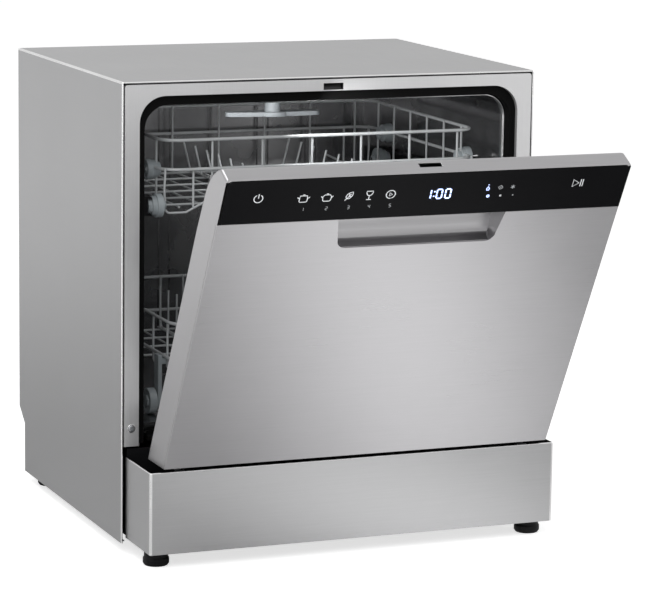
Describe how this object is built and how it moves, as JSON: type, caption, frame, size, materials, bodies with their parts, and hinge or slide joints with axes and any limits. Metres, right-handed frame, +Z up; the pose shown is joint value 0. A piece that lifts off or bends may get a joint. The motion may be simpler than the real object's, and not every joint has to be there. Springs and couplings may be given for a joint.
{
  "type": "countertop dishwasher",
  "caption": "Countertop dishwasher with a drop-down door carrying touch controls, pull-out wire racks on rollers, rotating spray arms, a twist-out filter and a detergent dispenser.",
  "frame": {"origin": "middle of the footprint with the door ajar, on the worktop", "axes": "+X to the right seen from the front, +Y to the back, +Z up"},
  "size_m": [0.56, 0.7606, 0.595],
  "materials": {
    "black_plastic": "matte",
    "circuit_board": "satin",
    "coated_wire": "satin",
    "control_glass": "gloss",
    "grey_plastic": "satin",
    "pump_housing": "satin",
    "seal_rubber": "matte",
    "steel": "brushed",
    "tub_steel": "satin",
    "white_plastic": "satin",
    "zinc_steel": "satin"
  },
  "bodies": {
    "cabinet": {"cabinet_wrap": "steel", "front_frame": "steel", "rear_panel": "zinc_steel", "base_tray": "black_plastic", "plinth": "steel", "case_screws": "steel", "foot_front_left": "black_plastic", "foot_front_right": "black_plastic", "foot_rear_left": "black_plastic", "foot_rear_right": "black_plastic", "tub": "tub_steel", "tub_gasket": "seal_rubber", "lower_seal": "seal_rubber", "door_lock": "black_plastic", "upper_rail_left": "black_plastic", "upper_rail_right": "black_plastic", "riser_duct": "white_plastic", "sump": "white_plastic", "filter_plate": "tub_steel", "heater": "zinc_steel", "wash_pump": "pump_housing", "drain_pump": "white_plastic", "inlet_valve": "white_plastic", "air_break": "white_plastic", "softener": "white_plastic", "float_switch": "white_plastic", "drain_outlet": "black_plastic", "cord_gland": "black_plastic", "hinge_bracket_left": "zinc_steel", "hinge_bracket_right": "zinc_steel"},
    "door": {"door_casing": "steel", "door_panel": "steel", "control_glass": "control_glass", "handle_cup": "steel", "door_liner": "steel", "control_board": "circuit_board", "display_module": "black_plastic", "dispenser_body": "white_plastic", "hinge_arm_left": "zinc_steel", "hinge_arm_right": "zinc_steel"},
    "dispenser_lid": {"dispenser_lid": "grey_plastic"},
    "rinse_cap": {"rinse_cap": "grey_plastic"},
    "latch_tongue": {"latch_tongue": "zinc_steel"},
    "upper_rack": {"upper_rack": "coated_wire", "middle_arm_feed": "white_plastic"},
    "middle_spray_arm": {"middle_spray_arm": "grey_plastic"},
    "lower_rack": {"lower_rack": "coated_wire", "lower_brackets": "grey_plastic"},
    "lower_spray_arm": {"lower_spray_arm": "grey_plastic"},
    "ceiling_spray_arm": {"ceiling_spray_arm": "grey_plastic"},
    "filter_cup": {"filter_cup": "grey_plastic"},
    "salt_cap": {"salt_cap": "white_plastic"},
    "upper_roller_front_left": {"upper_roller_front_left": "grey_plastic"},
    "upper_roller_front_right": {"upper_roller_front_right": "grey_plastic"},
    "upper_roller_rear_left": {"upper_roller_rear_left": "grey_plastic"},
    "upper_roller_rear_right": {"upper_roller_rear_right": "grey_plastic"},
    "lower_roller_front_left": {"lower_roller_front_left": "grey_plastic"},
    "lower_roller_front_right": {"lower_roller_front_right": "grey_plastic"},
    "lower_roller_rear_left": {"lower_roller_rear_left": "grey_plastic"},
    "lower_roller_rear_right": {"lower_roller_rear_right": "grey_plastic"}
  },
  "joints": [
    {"name": "door_hinge", "type": "hinge", "parent": "cabinet", "child": "door", "pos_m": [0, -0.15249, 0.1186], "axis": [1, 0, 0], "range_deg": [-28.8, 61.2]},
    {"name": "upper_rack_slide", "type": "slide", "parent": "cabinet", "child": "upper_rack", "axis": [0, -1, 0], "range_m": [0, 0.12]},
    {"name": "lower_rack_slide", "type": "slide", "parent": "cabinet", "child": "lower_rack", "axis": [0, -1, 0], "range_m": [0, 0.04]},
    {"name": "middle_arm_spin", "type": "hinge", "parent": "upper_rack", "child": "middle_spray_arm", "pos_m": [0, 0.14601, 0.395], "axis": [0, 0, 1], "continuous": true},
    {"name": "lower_arm_spin", "type": "hinge", "parent": "cabinet", "child": "lower_spray_arm", "pos_m": [0, 0.14601, 0.19], "axis": [0, 0, 1], "continuous": true},
    {"name": "ceiling_arm_spin", "type": "hinge", "parent": "cabinet", "child": "ceiling_spray_arm", "pos_m": [0, 0.14601, 0.53], "axis": [0, 0, 1], "continuous": true},
    {"name": "dispenser_lid_hinge", "type": "hinge", "parent": "door", "child": "dispenser_lid", "pos_m": [-0.1025, -0.18177, 0.36657], "axis": [0, -0.4818, 0.8763], "range_deg": [0, 95]},
    {"name": "rinse_cap_twist", "type": "hinge", "parent": "door", "child": "rinse_cap", "pos_m": [0.013, -0.18247, 0.36618], "axis": [0, 0.8763, 0.4818], "range_deg": [0, 90]},
    {"name": "latch_slide", "type": "slide", "parent": "cabinet", "child": "latch_tongue", "axis": [0, 1, 0], "range_m": [0, 0.004], "stiffness_N_per_m": 600},
    {"name": "filter_cup_twist", "type": "hinge", "parent": "cabinet", "child": "filter_cup", "pos_m": [0, 0.04801, 0.15], "axis": [0, 0, 1], "range_deg": [0, 60]},
    {"name": "salt_cap_twist", "type": "hinge", "parent": "cabinet", "child": "salt_cap", "pos_m": [-0.128, 0.04451, 0.15], "axis": [0, 0, 1], "range_deg": [0, 90]},
    {"name": "upper_front_left_roll", "type": "hinge", "parent": "upper_rack", "child": "upper_roller_front_left", "pos_m": [-0.2205, -0.02949, 0.435], "axis": [1, 0, 0], "continuous": true},
    {"name": "upper_front_right_roll", "type": "hinge", "parent": "upper_rack", "child": "upper_roller_front_right", "pos_m": [0.2205, -0.02949, 0.435], "axis": [1, 0, 0], "continuous": true},
    {"name": "upper_rear_left_roll", "type": "hinge", "parent": "upper_rack", "child": "upper_roller_rear_left", "pos_m": [-0.2205, 0.30251, 0.435], "axis": [1, 0, 0], "continuous": true},
    {"name": "upper_rear_right_roll", "type": "hinge", "parent": "upper_rack", "child": "upper_roller_rear_right", "pos_m": [0.2205, 0.30251, 0.435], "axis": [1, 0, 0], "continuous": true},
    {"name": "lower_front_left_roll", "type": "hinge", "parent": "lower_rack", "child": "lower_roller_front_left", "pos_m": [-0.218, 0.00451, 0.1785], "axis": [1, 0, 0], "continuous": true},
    {"name": "lower_front_right_roll", "type": "hinge", "parent": "lower_rack", "child": "lower_roller_front_right", "pos_m": [0.218, 0.00451, 0.1785], "axis": [1, 0, 0], "continuous": true},
    {"name": "lower_rear_left_roll", "type": "hinge", "parent": "lower_rack", "child": "lower_roller_rear_left", "pos_m": [-0.218, 0.27251, 0.1785], "axis": [1, 0, 0], "continuous": true},
    {"name": "lower_rear_right_roll", "type": "hinge", "parent": "lower_rack", "child": "lower_roller_rear_right", "pos_m": [0.218, 0.27251, 0.1785], "axis": [1, 0, 0], "continuous": true}
  ],
  "couplings": [
    {"joint": "upper_front_left_roll", "follows": "upper_rack_slide", "rad_per_m": 104.17},
    {"joint": "upper_front_right_roll", "follows": "upper_rack_slide", "rad_per_m": 104.17},
    {"joint": "upper_rear_left_roll", "follows": "upper_rack_slide", "rad_per_m": 104.17},
    {"joint": "upper_rear_right_roll", "follows": "upper_rack_slide", "rad_per_m": 104.17},
    {"joint": "lower_front_left_roll", "follows": "lower_rack_slide", "rad_per_m": 60.606},
    {"joint": "lower_front_right_roll", "follows": "lower_rack_slide", "rad_per_m": 60.606},
    {"joint": "lower_rear_left_roll", "follows": "lower_rack_slide", "rad_per_m": 60.606},
    {"joint": "lower_rear_right_roll", "follows": "lower_rack_slide", "rad_per_m": 60.606}
  ]
}
